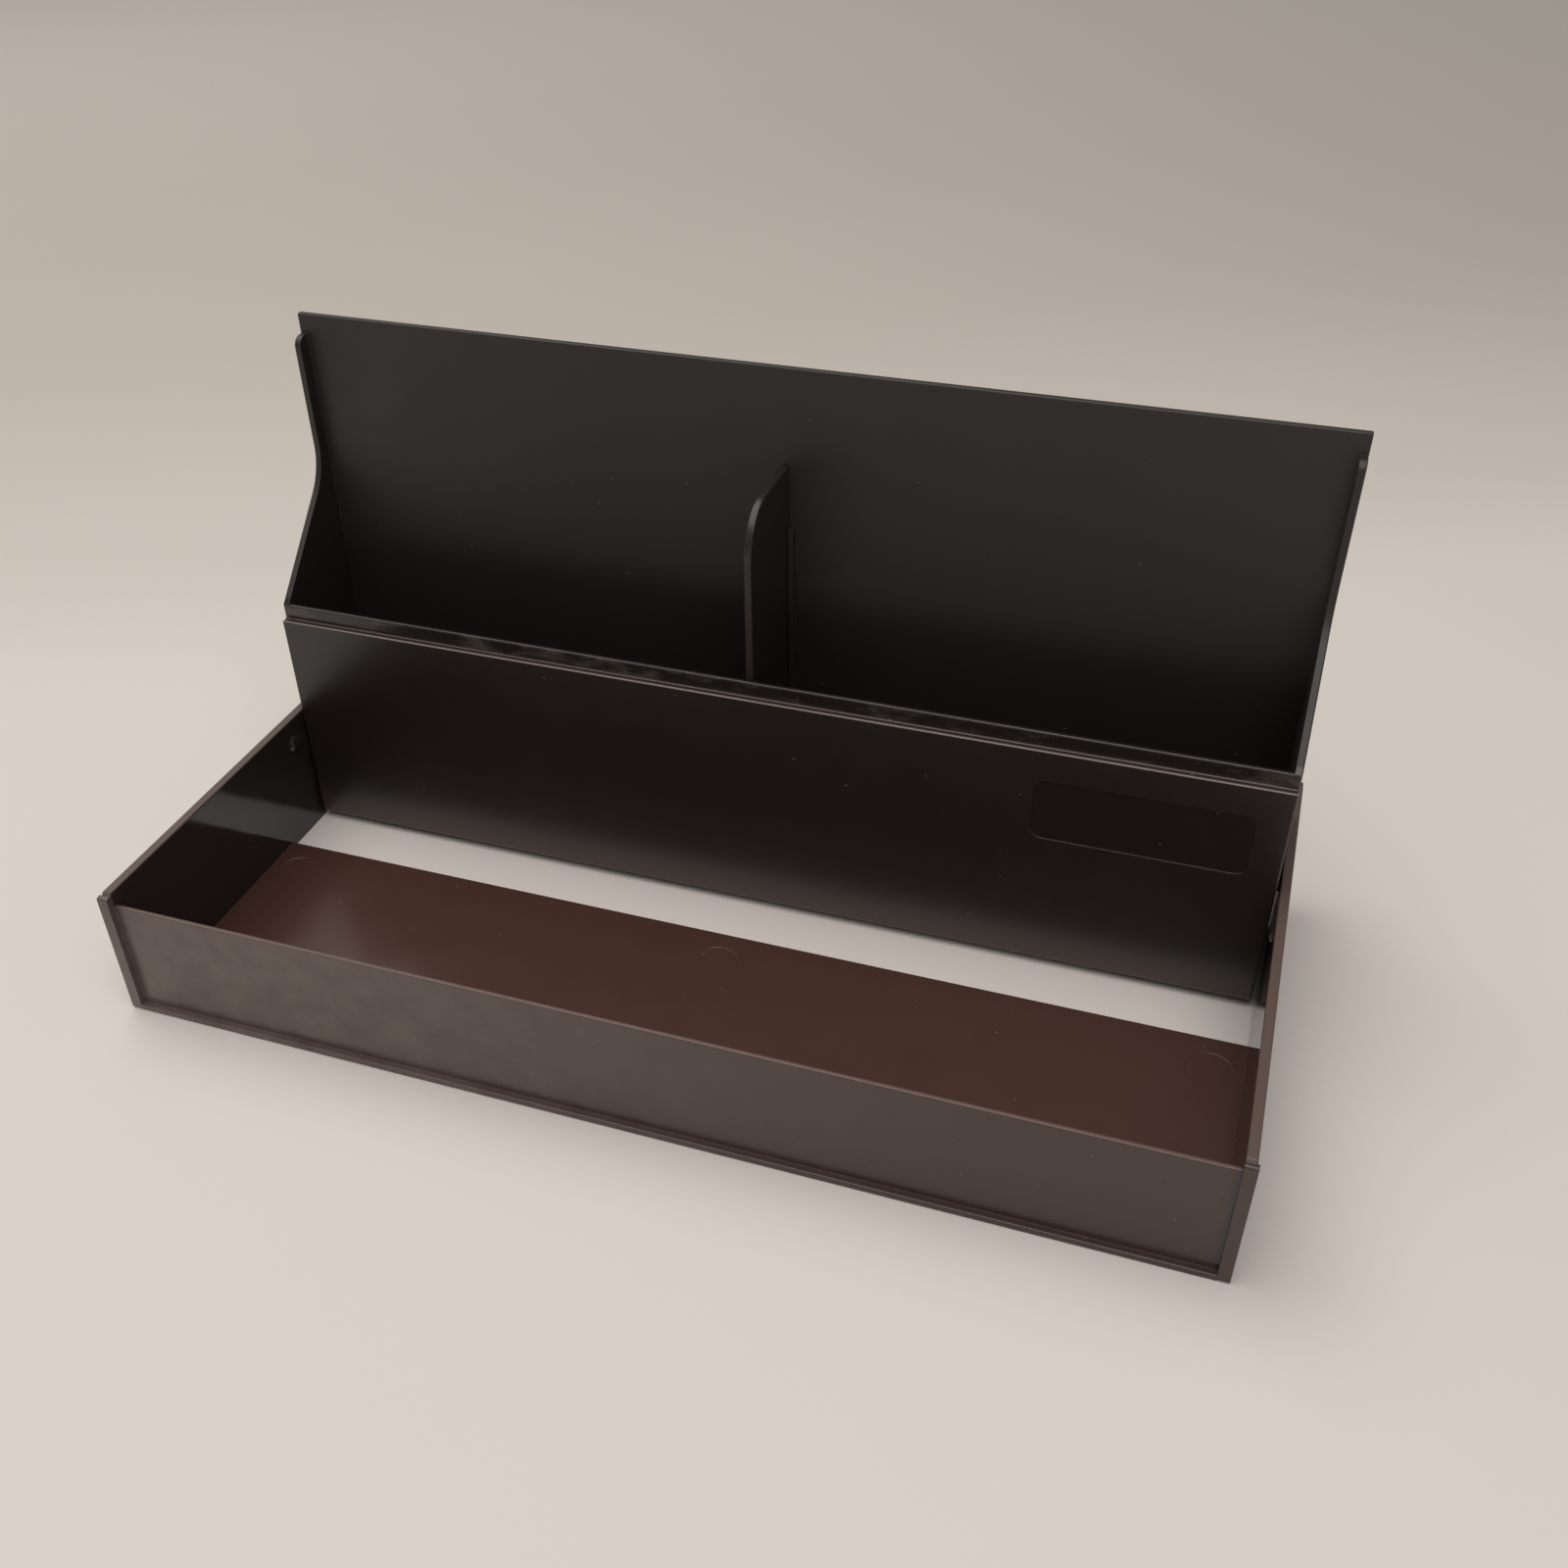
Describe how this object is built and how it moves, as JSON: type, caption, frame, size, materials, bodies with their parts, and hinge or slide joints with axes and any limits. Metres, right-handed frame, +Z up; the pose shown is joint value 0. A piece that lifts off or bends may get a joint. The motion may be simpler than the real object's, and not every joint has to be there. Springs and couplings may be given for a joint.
{
  "type": "floppy disk case",
  "caption": "Slim desktop case for two columns of 3.5 inch disks, whose hinged lid shuts over the upper front, top and sides and lies flat in front as a foot when open.",
  "frame": {"origin": "centre of the base's underside, on the surface that the case stands on", "axes": "+X to the right along the front wall, +Y from the front wall to the back panel, +Z up; the lid lies open towards -Y"},
  "size_m": [0.2006, 0.1015, 0.102],
  "materials": {
    "base_plastic": "near-black brown styrene, fine pebble grain on the front wall, smooth elsewhere",
    "lid_plastic": "dark red-brown styrene, satin outside, glossy on the insides of the arms",
    "divider_plastic": "smooth dark brown styrene"
  },
  "bodies": {
    "base": {"base": "base_plastic", "column_divider": "divider_plastic"},
    "lid": {"lid": "lid_plastic"}
  },
  "joints": [
    {"name": "lid_hinge", "type": "hinge", "parent": "base", "child": "lid", "pos_m": [0, 0.00635, 0.0191], "axis": [-1, 0, 0], "range_deg": [0, 90]}
  ]
}
